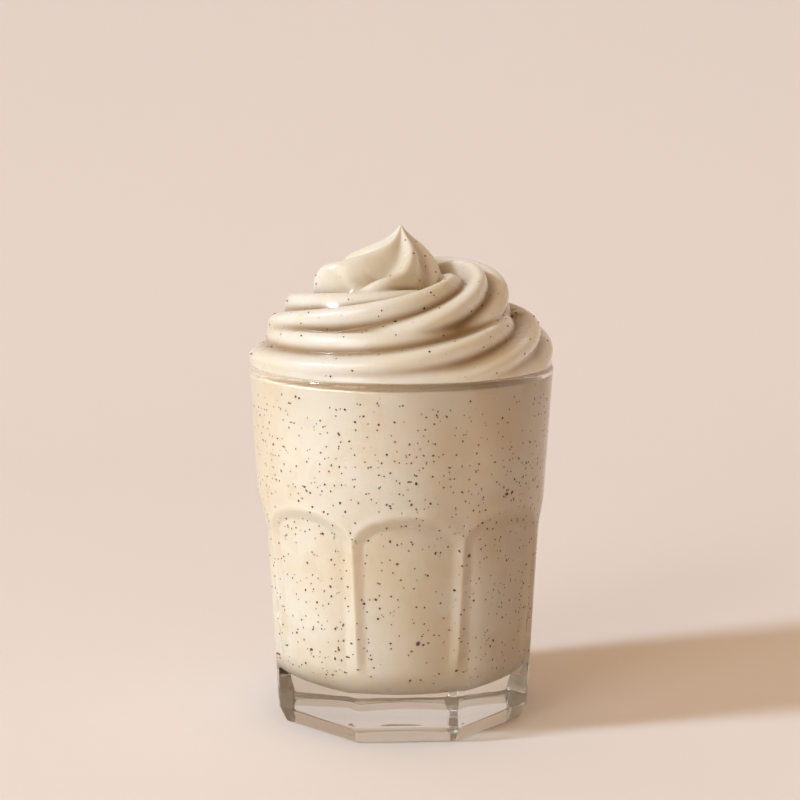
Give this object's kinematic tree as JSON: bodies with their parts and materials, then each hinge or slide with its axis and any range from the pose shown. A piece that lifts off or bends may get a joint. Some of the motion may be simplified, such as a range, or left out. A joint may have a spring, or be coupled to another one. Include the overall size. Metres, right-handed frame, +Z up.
{
  "type": "vanilla milkshake",
  "caption": "Tall faceted glass tumbler filled to the rim with a thick vanilla milkshake and topped with a piped swirl of the same cream, flecked with vanilla seeds.",
  "frame": {"origin": "middle of the foot, on the surface the glass stands on", "axes": "+Z up along the glass axis, -Y towards the viewer, +X to the viewer's right"},
  "size_m": [0.088, 0.088, 0.1428],
  "materials": {
    "clear_glass": "pressed clear glass, polished, soft rounded edges",
    "milkshake": "thick opaque cream drink, wet against the glass, flecked with vanilla seeds",
    "cream": "smooth piped cream with a soft wet sheen",
    "vanilla_seed": "tiny dark brown seeds"
  },
  "bodies": {
    "root": {"glass": "clear_glass", "milkshake": "milkshake", "cream_swirl": "cream"}
  },
  "joints": []
}
